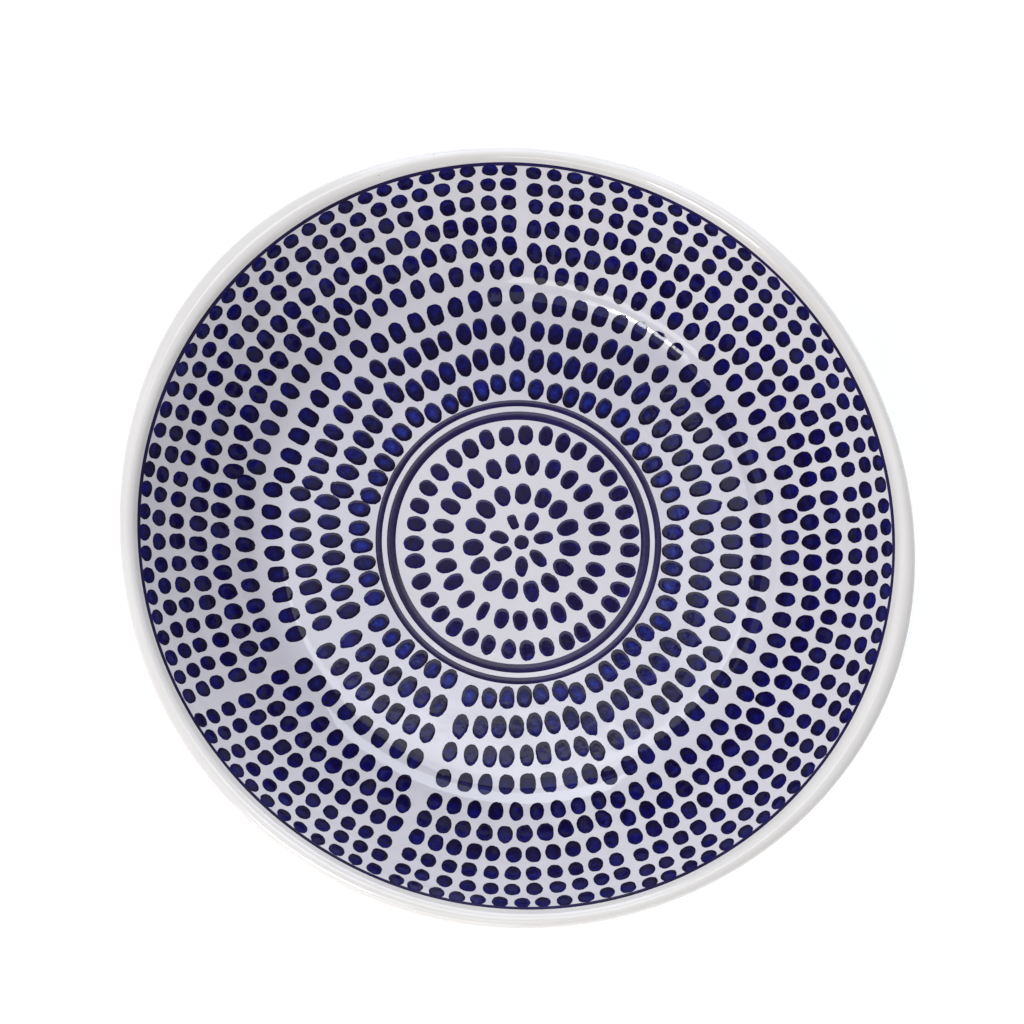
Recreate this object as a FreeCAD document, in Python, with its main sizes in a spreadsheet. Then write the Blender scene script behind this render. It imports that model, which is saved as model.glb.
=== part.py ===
import FreeCAD, Part
import math
import os

import Sketcher

# A round porcelain serving bowl on a foot ring, 300 mm across.
#
# Frame: +Z up, origin at the centre of the foot's standing face, millimetres.
#
# The clay is a shell of even thickness.  Its inside is one chain of tangent arcs: a nearly flat
# floor, a tight knee, and a wall that steepens up to the lip.  Everything else follows that
# chain at its own depth: the glaze coats, the painted lines and the printed decoration.
# A depth is counted from the clay's inside surface, positive towards the hollow of the bowl.

DRIVING_DIMENSIONS = (
    ("outer_radius", 150.6),
    ("floor_height", 14.6),
    ("clay_thickness", 6.2),
    ("floor_arc", 1400.0),
    ("knee_start", 93.0),
    ("knee_arc", 20.0),
    ("knee_end", 105.5),
    ("wall_arc", 244.0),
    ("foot_inner", 68.0),
    ("foot_outer", 75.5),
    ("foot_round", 1.6),
    ("bare_height", 2.2),
    ("glaze_thickness", 0.4),
    ("colour_thickness", 0.25),
    ("inner_band_radius", 50.6),
    ("inner_band_width", 3.5),
    ("outer_band_radius", 55.6),
    ("outer_band_width", 2.6),
    ("rim_line_radius", 142.65),
    ("rim_line_width", 1.1),
    ("medallion_shift", 1.3),
    ("transfer_pitch", 40.0),
    ("transfer_start", -31.5),
)

# The junctions of the inside chain: 1 floor to knee, 2 knee to wall, 3 wall to lip.
# "sine" and "cosine" belong to the slope of the surface there.
DERIVED_DIMENSIONS = (
    ("sine_1", "sheet.knee_start / sheet.floor_arc"),
    ("cosine_1", "sqrt(1 - derived.sine_1 ^ 2)"),
    ("radius_1", "sheet.knee_start"),
    ("height_1", "sheet.floor_height + sheet.floor_arc * (1 - derived.cosine_1)"),
    ("sine_2", "derived.sine_1 + (sheet.knee_end - sheet.knee_start) / sheet.knee_arc"),
    ("cosine_2", "sqrt(1 - derived.sine_2 ^ 2)"),
    ("radius_2", "sheet.knee_end"),
    ("height_2", "derived.height_1 + sheet.knee_arc * (derived.cosine_1 - derived.cosine_2)"),
    ("wall_centre_radius", "sheet.knee_end - sheet.wall_arc * derived.sine_2"),
    ("wall_centre_height", "derived.height_2 + sheet.wall_arc * derived.cosine_2"),
    ("lip_arc", "sheet.clay_thickness / 2"),
    ("lip_centre_radius", "sheet.outer_radius - sheet.glaze_thickness - derived.lip_arc"),
    ("sine_3", "(derived.lip_centre_radius - derived.wall_centre_radius)"
               " / (sheet.wall_arc + derived.lip_arc)"),
    ("cosine_3", "sqrt(1 - derived.sine_3 ^ 2)"),
    ("radius_3", "derived.wall_centre_radius + sheet.wall_arc * derived.sine_3"),
    ("height_3", "derived.wall_centre_height - sheet.wall_arc * derived.cosine_3"),
    ("floor_centre_height", "sheet.floor_height + sheet.floor_arc"),
)

# Depths, as formulas of the sheet.
CLAY_INSIDE = "0"
CLAY_OUTSIDE = "-sheet.clay_thickness"
GLAZE_INSIDE = "sheet.glaze_thickness"
GLAZE_OUTSIDE = "-sheet.clay_thickness - sheet.glaze_thickness"
COLOUR_TOP = "sheet.glaze_thickness + sheet.colour_thickness"

doc = FreeCAD.newDocument("serving_bowl")


def make_sheet():
    """The driving dimensions, one named cell each."""
    sheet = doc.addObject("Spreadsheet::Sheet", "sheet")
    for row, (name, size) in enumerate(DRIVING_DIMENSIONS, start=1):
        sheet.set(f"A{row}", name)
        sheet.set(f"B{row}", str(size))
        sheet.setAlias(f"B{row}", name)
    doc.recompute()
    return sheet


def make_derived():
    """The sizes that follow from the driving dimensions."""
    derived = doc.addObject("App::VarSet", "derived")
    for name, _ in DERIVED_DIMENSIONS:
        derived.addProperty("App::PropertyFloat", name)
    for name, formula in DERIVED_DIMENSIONS:
        derived.setExpression(name, formula.replace("derived.", ""))
    doc.recompute()
    return derived


sheet = make_sheet()
derived = make_derived()


def value(formula):
    """The number that a formula of the sheet gives now."""
    return float(derived.evalExpression(formula))


# ---------------------------------------------------------------- outlines

def junction(number, depth):
    """The chain's junction at a depth, as a pair of formulas (radius, height)."""
    radius = f"derived.radius_{number} - derived.sine_{number} * ({depth})"
    height = f"derived.height_{number} + derived.cosine_{number} * ({depth})"
    return radius, height


def lip_crown(depth):
    """The lip's end, straight up the wall from the lip's centre."""
    reach = f"(derived.lip_arc + ({depth}))"
    radius = f"derived.lip_centre_radius + derived.cosine_3 * {reach}"
    centre = "derived.wall_centre_height - derived.cosine_3 * (sheet.wall_arc + derived.lip_arc)"
    height = f"{centre} + derived.sine_3 * {reach}"
    return radius, height


def on_axis(depth):
    """Where the floor's arc crosses the bowl's axis."""
    return "0", f"sheet.floor_height + ({depth})"


def on_floor(radius, depth):
    """A point of the floor's arc, on either side of the clay."""
    height = f"derived.floor_centre_height - sqrt((sheet.floor_arc - ({depth})) ^ 2 - ({radius}) ^ 2)"
    return radius, height


def on_wall(radius, depth):
    """A point of the wall's arc."""
    across = f"({radius} - derived.wall_centre_radius)"
    height = f"derived.wall_centre_height - sqrt((sheet.wall_arc - ({depth})) ^ 2 - {across} ^ 2)"
    return radius, height


def hollow_arc(radius_cell, depth):
    """An arc that bulges away from the hollow, drawn from the axis outwards."""
    return f"sheet.{radius_cell} - ({depth})", +1


def reverse(arc):
    """The same arc drawn the other way."""
    radius, side = arc
    return radius, -side


def add_arc(sketch, start, end, radius, side):
    """A minor arc from start to end. side +1 turns left on the way, -1 turns right."""
    middle = (start + end) / 2
    chord = end - start
    left = FreeCAD.Vector(-chord.y, chord.x, 0).normalize()
    rise = math.sqrt(max(radius ** 2 - (chord.Length / 2) ** 2, 0))
    centre = middle + left * (side * rise)
    first, last = (start, end) if side > 0 else (end, start)
    angles = [math.atan2(point.y - centre.y, point.x - centre.x) for point in (first, last)]
    circle = Part.Circle(centre, FreeCAD.Vector(0, 0, 1), radius)
    index = sketch.addGeometry(Part.ArcOfCircle(circle, *angles), False)
    ends = (1, 2) if side > 0 else (2, 1)
    return index, ends


def bind(sketch, constraint, formula):
    """Adds a dimension and binds it to the sheet."""
    index = sketch.addConstraint(constraint)
    sketch.setExpression(f"Constraints[{index}]", formula)


def draw_outline(sketch, corners, edges):
    """A closed outline. corners are formula pairs; an edge is None or (radius formula, side)."""
    points = [FreeCAD.Vector(value(across), value(up), 0) for across, up in corners]
    drawn = []
    for number, edge in enumerate(edges):
        start = points[number]
        end = points[(number + 1) % len(points)]
        if edge is None:
            index = sketch.addGeometry(Part.LineSegment(start, end), False)
            drawn.append((index, (1, 2)))
        else:
            radius, side = edge
            drawn.append(add_arc(sketch, start, end, value(radius), side))
    for number, (index, ends) in enumerate(drawn):
        before, before_ends = drawn[number - 1]
        sketch.addConstraint(Sketcher.Constraint("Coincident", before, before_ends[1], index, ends[0]))
        across, up = corners[number]
        if across == "0":
            sketch.addConstraint(Sketcher.Constraint("PointOnObject", index, ends[0], -2))
        else:
            distance = Sketcher.Constraint("DistanceX", -1, 1, index, ends[0], points[number].x)
            bind(sketch, distance, across)
        if up == "0":
            sketch.addConstraint(Sketcher.Constraint("PointOnObject", index, ends[0], -1))
        else:
            distance = Sketcher.Constraint("DistanceY", -1, 1, index, ends[0], points[number].y)
            bind(sketch, distance, up)
        if edges[number] is not None:
            radius = edges[number][0]
            bind(sketch, Sketcher.Constraint("Radius", index, value(radius)), radius)


def turned_piece(name, corners, edges):
    """A piece of the bowl made by turning an outline about the bowl's axis."""
    body = doc.addObject("PartDesign::Body", name)
    body.Label = name
    plane = next(item for item in body.Origin.OriginFeatures if item.Role == "XZ_Plane")
    sketch = body.newObject("Sketcher::SketchObject", f"{name}_outline")
    sketch.AttachmentSupport = (plane, [""])
    sketch.MapMode = "FlatFace"
    doc.recompute()
    draw_outline(sketch, corners, edges)
    doc.recompute()
    turn = body.newObject("PartDesign::Revolution", f"{name}_turn")
    turn.Profile = sketch
    turn.ReferenceAxis = (sketch, ["V_Axis"])
    turn.Angle = 360
    sketch.Visibility = False
    body.Tip = turn
    body.Placement = FreeCAD.Placement()
    doc.recompute()
    return body


# ---------------------------------------------------------------- clay

def make_bowl_body():
    """The clay shell: floor, knee, wall and a half-round lip."""
    corners = [
        on_axis(CLAY_INSIDE),
        junction(1, CLAY_INSIDE),
        junction(2, CLAY_INSIDE),
        junction(3, CLAY_INSIDE),
        lip_crown("0"),
        junction(3, CLAY_OUTSIDE),
        junction(2, CLAY_OUTSIDE),
        junction(1, CLAY_OUTSIDE),
        on_axis(CLAY_OUTSIDE),
    ]
    lip = ("derived.lip_arc", -1)
    edges = [
        hollow_arc("floor_arc", CLAY_INSIDE),
        hollow_arc("knee_arc", CLAY_INSIDE),
        hollow_arc("wall_arc", CLAY_INSIDE),
        lip,
        lip,
        reverse(hollow_arc("wall_arc", CLAY_OUTSIDE)),
        reverse(hollow_arc("knee_arc", CLAY_OUTSIDE)),
        reverse(hollow_arc("floor_arc", CLAY_OUTSIDE)),
        None,
    ]
    return turned_piece("bowl_body", corners, edges)


def make_foot_ring():
    """The ring the bowl stands on, with a rounded standing edge either side of a flat."""
    inner = "sheet.foot_inner"
    outer = "sheet.foot_outer"
    rounding = "sheet.foot_round"
    corners = [
        on_floor(inner, CLAY_OUTSIDE),
        (inner, rounding),
        (f"{inner} + {rounding}", "0"),
        (f"{outer} - {rounding}", "0"),
        (outer, rounding),
        on_floor(outer, CLAY_OUTSIDE),
    ]
    edge_round = (rounding, +1)
    underside = reverse(hollow_arc("floor_arc", CLAY_OUTSIDE))
    edges = [None, edge_round, None, edge_round, None, underside]
    return turned_piece("foot_ring", corners, edges)


# ---------------------------------------------------------------- glaze

def make_glaze_inside():
    """The coat poured inside the bowl, up to the start of the lip."""
    corners = [
        on_axis(CLAY_INSIDE),
        junction(1, CLAY_INSIDE),
        junction(2, CLAY_INSIDE),
        junction(3, CLAY_INSIDE),
        junction(3, GLAZE_INSIDE),
        junction(2, GLAZE_INSIDE),
        junction(1, GLAZE_INSIDE),
        on_axis(GLAZE_INSIDE),
    ]
    edges = [
        hollow_arc("floor_arc", CLAY_INSIDE),
        hollow_arc("knee_arc", CLAY_INSIDE),
        hollow_arc("wall_arc", CLAY_INSIDE),
        None,
        reverse(hollow_arc("wall_arc", GLAZE_INSIDE)),
        reverse(hollow_arc("knee_arc", GLAZE_INSIDE)),
        reverse(hollow_arc("floor_arc", GLAZE_INSIDE)),
        None,
    ]
    return turned_piece("glaze_inside", corners, edges)


def make_glaze_outside():
    """The coat over the lip and down the outside, wiped off near the foot's standing edge."""
    clay_side = "sheet.foot_outer"
    free_side = "sheet.foot_outer + sheet.glaze_thickness"
    corners = [
        junction(3, CLAY_INSIDE),
        lip_crown("0"),
        junction(3, CLAY_OUTSIDE),
        junction(2, CLAY_OUTSIDE),
        junction(1, CLAY_OUTSIDE),
        on_floor(clay_side, CLAY_OUTSIDE),
        (clay_side, "sheet.bare_height"),
        (free_side, "sheet.bare_height"),
        on_floor(free_side, GLAZE_OUTSIDE),
        junction(1, GLAZE_OUTSIDE),
        junction(2, GLAZE_OUTSIDE),
        junction(3, GLAZE_OUTSIDE),
        lip_crown("sheet.glaze_thickness"),
        junction(3, GLAZE_INSIDE),
    ]
    clay_lip = ("derived.lip_arc", -1)
    free_lip = ("derived.lip_arc + sheet.glaze_thickness", +1)
    edges = [
        clay_lip,
        clay_lip,
        reverse(hollow_arc("wall_arc", CLAY_OUTSIDE)),
        reverse(hollow_arc("knee_arc", CLAY_OUTSIDE)),
        reverse(hollow_arc("floor_arc", CLAY_OUTSIDE)),
        None,
        None,
        None,
        hollow_arc("floor_arc", GLAZE_OUTSIDE),
        hollow_arc("knee_arc", GLAZE_OUTSIDE),
        hollow_arc("wall_arc", GLAZE_OUTSIDE),
        free_lip,
        free_lip,
        None,
    ]
    return turned_piece("glaze_outside", corners, edges)


def make_glaze_underside():
    """The coat under the base, inside the foot ring."""
    clay_side = "sheet.foot_inner"
    free_side = "sheet.foot_inner - sheet.glaze_thickness"
    corners = [
        on_axis(GLAZE_OUTSIDE),
        on_floor(free_side, GLAZE_OUTSIDE),
        (free_side, "sheet.bare_height"),
        (clay_side, "sheet.bare_height"),
        on_floor(clay_side, CLAY_OUTSIDE),
        on_axis(CLAY_OUTSIDE),
    ]
    edges = [
        hollow_arc("floor_arc", GLAZE_OUTSIDE),
        None,
        None,
        None,
        reverse(hollow_arc("floor_arc", CLAY_OUTSIDE)),
        None,
    ]
    return turned_piece("glaze_underside", corners, edges)


# ---------------------------------------------------------------- painted lines

def make_painted_line(name, radius, width, place, arc_cell):
    """A line of colour brushed round the bowl on the wheel, on the floor or on the wall."""
    near = f"{radius} - {width} / 2"
    far = f"{radius} + {width} / 2"
    corners = [
        place(near, GLAZE_INSIDE),
        place(far, GLAZE_INSIDE),
        place(far, COLOUR_TOP),
        place(near, COLOUR_TOP),
    ]
    edges = [
        hollow_arc(arc_cell, GLAZE_INSIDE),
        None,
        reverse(hollow_arc(arc_cell, COLOUR_TOP)),
        None,
    ]
    return turned_piece(name, corners, edges)


# ---------------------------------------------------------------- printed decoration
#
# The dabs are printed on transfer paper and laid on the glaze: one round sheet in the middle,
# nine sheets side by side on the floor and nine more on the wall.

# Rings of the round sheet: (radius, count, width across, length along the radius), and the
# direction in degrees of one dab of the ring.
MEDALLION_RINGS = (
    (8.9, 7, 4.9, 7.9, 11.0),
    (19.4, 15, 6.3, 8.5, 17.1),
    (31.5, 25, 5.8, 8.4, 9.8),
    (43.1, 35, 5.9, 7.8, 5.6),
)
MEDALLION_CENTRE_DAB = 5.6

# Rows of one sheet: (radius, count, width, length, first dab, last dab, climb).  The first and
# last dab are in degrees from the sheet's edge.  The climb is how far, in millimetres along
# the surface, the row leans towards the rim.
FLOOR_ROWS = (
    (62.5, 6, 6.1, 8.5, 5.3, 38.2, 3.2),
    (74.3, 7, 6.2, 9.2, 4.5, 38.0, 3.9),
    (85.9, 8, 5.9, 8.5, 3.9, 38.4, 3.6),
    (97.3, 8, 6.0, 8.4, 3.6, 38.2, 3.2),
    (107.6, 9, 5.8, 9.5, 3.6, 38.3, 2.4),
)
WALL_ROWS = (
    (115.6, 10, 6.2, 9.9, 1.7, 37.1, 3.4),
    (123.3, 11, 6.0, 9.4, 1.5, 37.4, 2.2),
    (130.3, 11, 6.0, 8.2, 1.7, 37.5, 1.8),
    (136.0, 11, 6.1, 7.2, 1.3, 37.7, 2.2),
    (140.1, 12, 6.0, 6.0, 1.2, 37.9, 0.6),
)
# How far each of the nine sheets was laid from its place, in degrees.
FLOOR_SLIPS = (-0.9, -2.3, 0.1, 2.2, 0.7, 0.0, 0.0, 0.2, 0.0)
WALL_SLIPS = (-0.5, -0.6, 0.0, 1.0, 0.1, -0.5, 0.0, 0.3, 0.3)
PUNCH_REACH = 3.0
# A dab's end keeps this far from a junction of the chain, so that no sliver of a face is left.
JUNCTION_CLEARANCE = 0.3


def floor_climb(share):
    """The lean of a floor row: level at first, then rising to the sheet's far edge."""
    late = max(share - 0.3, 0) / 0.7
    return late ** 1.4


def wall_climb(share):
    """The lean of a wall row: rising, then level from about three quarters on."""
    return math.sin(min(share / 0.75, 1) * math.pi / 2) ** 1.5


class Surface:
    """The glazed inside of the bowl, followed outwards from the axis."""

    def __init__(self):
        self.depth = value(GLAZE_INSIDE)
        self.arcs = []
        start_sine = 0.0
        travelled = 0.0
        centres = (
            (0.0, value("derived.floor_centre_height")),
            self.knee_centre(),
            (value("derived.wall_centre_radius"), value("derived.wall_centre_height")),
        )
        cells = ("floor_arc", "knee_arc", "wall_arc")
        for number, (centre, cell) in enumerate(zip(centres, cells), start=1):
            radius = value(f"sheet.{cell}") - self.depth
            start_angle = math.asin(start_sine)
            start_sine = value(f"derived.sine_{number}")
            self.arcs.append((centre, radius, start_angle, math.asin(start_sine), travelled))
            travelled += radius * (math.asin(start_sine) - start_angle)

    def knee_centre(self):
        reach = value("sheet.floor_arc - sheet.knee_arc")
        radius = reach * value("derived.sine_1")
        height = value("derived.floor_centre_height") - reach * value("derived.cosine_1")
        return radius, height

    def travel_to(self, plan_radius):
        """The distance along the surface from the axis to a plan radius."""
        for centre, radius, start, end, travelled in self.arcs:
            sine = (plan_radius - centre[0]) / radius
            if sine <= math.sin(end):
                return travelled + radius * (math.asin(sine) - start)
        raise ValueError("that radius is past the lip")

    def clear_of_junctions(self, travel, length):
        """The distance moved a little, if a dab of that length would end right at a junction."""
        for *_, junction_travel in self.arcs[1:]:
            for end in (travel - length / 2, travel + length / 2):
                past = end - junction_travel
                if abs(past) < JUNCTION_CLEARANCE:
                    travel += math.copysign(JUNCTION_CLEARANCE, past) - past
        return travel

    def at(self, travel):
        """The radius, height and slope at a distance along the surface."""
        for centre, radius, start, end, travelled in reversed(self.arcs):
            if travel >= travelled:
                slope = start + (travel - travelled) / radius
                across = centre[0] + radius * math.sin(slope)
                up = centre[1] - radius * math.cos(slope)
                return across, up, slope
        raise ValueError("that distance is behind the axis")

    def frame(self, travel, direction):
        """The placement of a dab: its length up the surface, its thickness along the normal."""
        across, up, slope = self.at(travel)
        tangent = FreeCAD.Vector(math.cos(slope), 0, math.sin(slope))
        normal = FreeCAD.Vector(-math.sin(slope), 0, math.cos(slope))
        turn = FreeCAD.Rotation(tangent, FreeCAD.Vector(0, 1, 0), normal, "ZXY")
        local = FreeCAD.Placement(FreeCAD.Vector(across, 0, up), turn)
        about_axis = FreeCAD.Placement(
            FreeCAD.Vector(), FreeCAD.Rotation(FreeCAD.Vector(0, 0, 1), direction)
        )
        return about_axis.multiply(local)


def colour_layer():
    """Everywhere inside the bowl that a layer of colour could lie on the glaze."""
    corners = [
        on_axis(GLAZE_INSIDE),
        junction(1, GLAZE_INSIDE),
        junction(2, GLAZE_INSIDE),
        junction(3, GLAZE_INSIDE),
        junction(3, COLOUR_TOP),
        junction(2, COLOUR_TOP),
        junction(1, COLOUR_TOP),
        on_axis(COLOUR_TOP),
    ]
    points = [FreeCAD.Vector(value(across), 0, value(up)) for across, up in corners]
    edges = []
    surface = Surface()
    thickness = value("sheet.colour_thickness")
    for number, (centre, radius, start, end, _) in enumerate(surface.arcs):
        middle = (start + end) / 2
        for reach, first, last in (
            (radius, points[number], points[number + 1]),
            (radius - thickness, points[7 - number], points[6 - number]),
        ):
            between = FreeCAD.Vector(
                centre[0] + reach * math.sin(middle), 0, centre[1] - reach * math.cos(middle)
            )
            edges.append(Part.Arc(first, between, last).toShape())
    edges.append(Part.LineSegment(points[3], points[4]).toShape())
    edges.append(Part.LineSegment(points[7], points[0]).toShape())
    wire = Part.Wire(Part.__sortEdges__(edges))
    face = Part.Face(wire)
    return face.revolve(FreeCAD.Vector(), FreeCAD.Vector(0, 0, 1), 360)


def dab(layer, placement, length, width):
    """One oval dab: what an oval punch takes out of the colour layer."""
    if length >= width:
        oval = Part.Ellipse(FreeCAD.Vector(), length / 2, width / 2)
    else:
        oval = Part.Circle(FreeCAD.Vector(), FreeCAD.Vector(0, 0, 1), width / 2)
    punch = Part.Face(Part.Wire([oval.toShape()]))
    punch.translate(FreeCAD.Vector(0, 0, -PUNCH_REACH))
    punch = punch.extrude(FreeCAD.Vector(0, 0, 2 * PUNCH_REACH))
    punch.Placement = placement.multiply(punch.Placement)
    return layer.common(punch).Solids[0]


def printed_piece(name, shape, placement):
    """A printed sheet as its own piece."""
    piece = doc.addObject("Part::Feature", name)
    piece.Label = name
    piece.Shape = shape
    piece.Placement = placement
    return piece


def make_medallion(layer, surface):
    """The round sheet in the middle: four rings about one round dab."""
    shift = FreeCAD.Placement(
        FreeCAD.Vector(value("sheet.medallion_shift"), 0, 0), FreeCAD.Rotation()
    )
    dabs = [dab(layer, surface.frame(0, 0), MEDALLION_CENTRE_DAB, MEDALLION_CENTRE_DAB)]
    for radius, count, width, length, direction in MEDALLION_RINGS:
        travel = surface.travel_to(radius)
        for number in range(count):
            placement = surface.frame(travel, direction + 360 * number / count)
            dabs.append(dab(layer, placement, length, width))
    return printed_piece("medallion_transfer", Part.Compound(dabs), shift)


def make_sheets(layer, surface, base_name, rows, climb, slips):
    """Nine equal sheets side by side, each turned by the pitch and its own slip."""
    dabs = []
    for radius, count, width, length, first, last, rise in rows:
        shares = [number / (count - 1) for number in range(count)]
        mean_climb = sum(climb(share) for share in shares) / count
        for share in shares:
            direction = -(first + (last - first) * share)
            travel = surface.travel_to(radius) + rise * (climb(share) - mean_climb)
            travel = surface.clear_of_junctions(travel, length)
            dabs.append(dab(layer, surface.frame(travel, direction), length, width))
    sheet_shape = Part.Compound(dabs)
    pitch = value("sheet.transfer_pitch")
    start = value("sheet.transfer_start")
    for number, slip in enumerate(slips):
        turn = FreeCAD.Rotation(FreeCAD.Vector(0, 0, 1), start - pitch * number - slip)
        name = f"{base_name}_{number + 1}"
        printed_piece(name, sheet_shape.copy(), FreeCAD.Placement(FreeCAD.Vector(), turn))


# ---------------------------------------------------------------- the whole bowl

def make_bowl():
    make_bowl_body()
    make_foot_ring()
    make_glaze_inside()
    make_glaze_outside()
    make_glaze_underside()
    make_painted_line(
        "medallion_band_inner", "sheet.inner_band_radius", "sheet.inner_band_width",
        on_floor, "floor_arc",
    )
    make_painted_line(
        "medallion_band_outer", "sheet.outer_band_radius", "sheet.outer_band_width",
        on_floor, "floor_arc",
    )
    make_painted_line(
        "rim_line", "sheet.rim_line_radius", "sheet.rim_line_width", on_wall, "wall_arc"
    )
    layer = colour_layer()
    surface = Surface()
    make_medallion(layer, surface)
    make_sheets(layer, surface, "floor_transfer", FLOOR_ROWS, floor_climb, FLOOR_SLIPS)
    make_sheets(layer, surface, "wall_transfer", WALL_ROWS, wall_climb, WALL_SLIPS)
    doc.recompute()


def pieces():
    """The objects that are pieces of the bowl, rather than sketches and features of them."""
    bodies = [item for item in doc.Objects if item.TypeId == "PartDesign::Body"]
    prints = [item for item in doc.Objects if item.TypeId == "Part::Feature"]
    return bodies + prints


def check_and_write():
    """Checks every object, then writes one STEP file for each piece."""
    for item in doc.Objects:
        if "Invalid" in item.State or "Error" in item.State:
            raise RuntimeError(f"{item.Name} is in state {item.State}")
        if item.TypeId == "Sketcher::SketchObject" and not item.FullyConstrained:
            raise RuntimeError(f"{item.Name} has a free dimension")
    for piece in pieces():
        if piece.Shape.isNull() or not piece.Shape.isValid():
            raise RuntimeError(f"{piece.Label} has no valid shape")
    os.makedirs("parts", exist_ok=True)
    for piece in pieces():
        piece.Shape.exportStep(f"parts/{piece.Label}.step")
        solids = len(piece.Shape.Solids)
        volume = piece.Shape.Volume / 1000
        print(f"{piece.Label}: {solids} solids, {volume:.3f} cm3, valid")


make_bowl()
check_and_write()
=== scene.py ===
"""Looks of a round porcelain serving bowl, decorated inside with rings of cobalt dabs.

Metres, +Z up, origin at the centre of the foot's standing face, as in the CAD frame.
"""

import math
import random

import bpy
from mathutils import Matrix, Vector


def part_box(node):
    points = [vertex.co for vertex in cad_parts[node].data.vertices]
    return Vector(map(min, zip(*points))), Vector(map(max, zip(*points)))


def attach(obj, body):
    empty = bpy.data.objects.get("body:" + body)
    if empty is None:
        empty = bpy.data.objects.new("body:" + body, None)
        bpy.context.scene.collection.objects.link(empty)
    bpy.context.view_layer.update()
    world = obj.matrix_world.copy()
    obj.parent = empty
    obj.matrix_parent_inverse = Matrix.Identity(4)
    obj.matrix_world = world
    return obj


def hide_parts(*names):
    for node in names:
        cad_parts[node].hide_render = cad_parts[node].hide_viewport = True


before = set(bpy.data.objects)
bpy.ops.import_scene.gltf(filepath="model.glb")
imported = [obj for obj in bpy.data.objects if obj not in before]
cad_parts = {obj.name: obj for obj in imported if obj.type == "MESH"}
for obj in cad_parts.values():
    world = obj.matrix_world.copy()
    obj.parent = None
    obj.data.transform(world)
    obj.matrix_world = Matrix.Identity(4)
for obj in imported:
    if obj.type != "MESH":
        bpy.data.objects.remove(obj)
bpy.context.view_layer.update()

MM = 0.001


# ---------------------------------------------------------------- camera

CAMERA_PLACE = (0.0277, -0.0760, 1.1665)
CAMERA_LOOKS = (-0.02624, 0.07637, -1.0)
CAMERA_LENS = 101.7
CAMERA_SENSOR = 36.0


def add_camera():
    """A long lens looking down into the bowl from a little to one side."""
    data = bpy.data.cameras.new("camera")
    data.lens = CAMERA_LENS
    data.sensor_width = CAMERA_SENSOR
    camera = bpy.data.objects.new("camera", data)
    bpy.context.collection.objects.link(camera)
    forward = Vector(CAMERA_LOOKS).normalized()
    right = forward.cross(Vector((0, 1, 0))).normalized()
    up = right.cross(forward)
    turn = Matrix((right, up, -forward)).transposed().to_4x4()
    camera.matrix_world = Matrix.Translation(CAMERA_PLACE) @ turn
    bpy.context.scene.camera = camera


add_camera()


# ---------------------------------------------------------------- the bowl's shape

CLAY_THICKNESS = 6.2 * MM
GLAZE_THICKNESS = 0.4 * MM
# Radii of the three arcs along the inside of the clay, and where the knee starts and ends.
FLOOR_ARC = 1400.0 * MM
KNEE_ARC = 20.0 * MM
WALL_ARC = 244.0 * MM
KNEE_START = 93.0 * MM
KNEE_END = 105.5 * MM
FOOT_ROUND = 1.6 * MM
FOOT_FILLET = 1.5 * MM
# The glaze stops this high on the foot, in a bead a little thicker than itself.
BARE_HEIGHT = 2.2 * MM
BEAD_RADIUS = 0.62 * GLAZE_THICKNESS


def radius_of(node):
    """Half the width of a round CAD node."""
    low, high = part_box(node)
    return (high[0] - low[0]) / 2


OUTER_RADIUS = radius_of("glaze_outside")
FOOT_OUTER = radius_of("foot_ring")
FOOT_INNER = radius_of("glaze_underside")
FLOOR_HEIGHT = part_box("glaze_inside")[0][2]

# Firing warp: the bowl is a little oval, more so towards the lip, and the lip isn't equally
# thick all round.
OVAL_SHARE = 0.0185
OVAL_GROWTH = 1.35
OVAL_DIRECTION = math.radians(-35.0)
# (waves round the rim, size, direction of a crest)
LIP_SWELLS = (
    (1, 0.5 * MM, math.radians(-150)),
    (2, 0.35 * MM, math.radians(-24)),
    (3, 0.5 * MM, math.radians(3)),
    (4, 0.75 * MM, math.radians(-37)),
    (5, 0.35 * MM, math.radians(-14)),
)
# The arcs' numbers, from the axis outwards.
FLOOR, KNEE, WALL = 0, 1, 2


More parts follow.
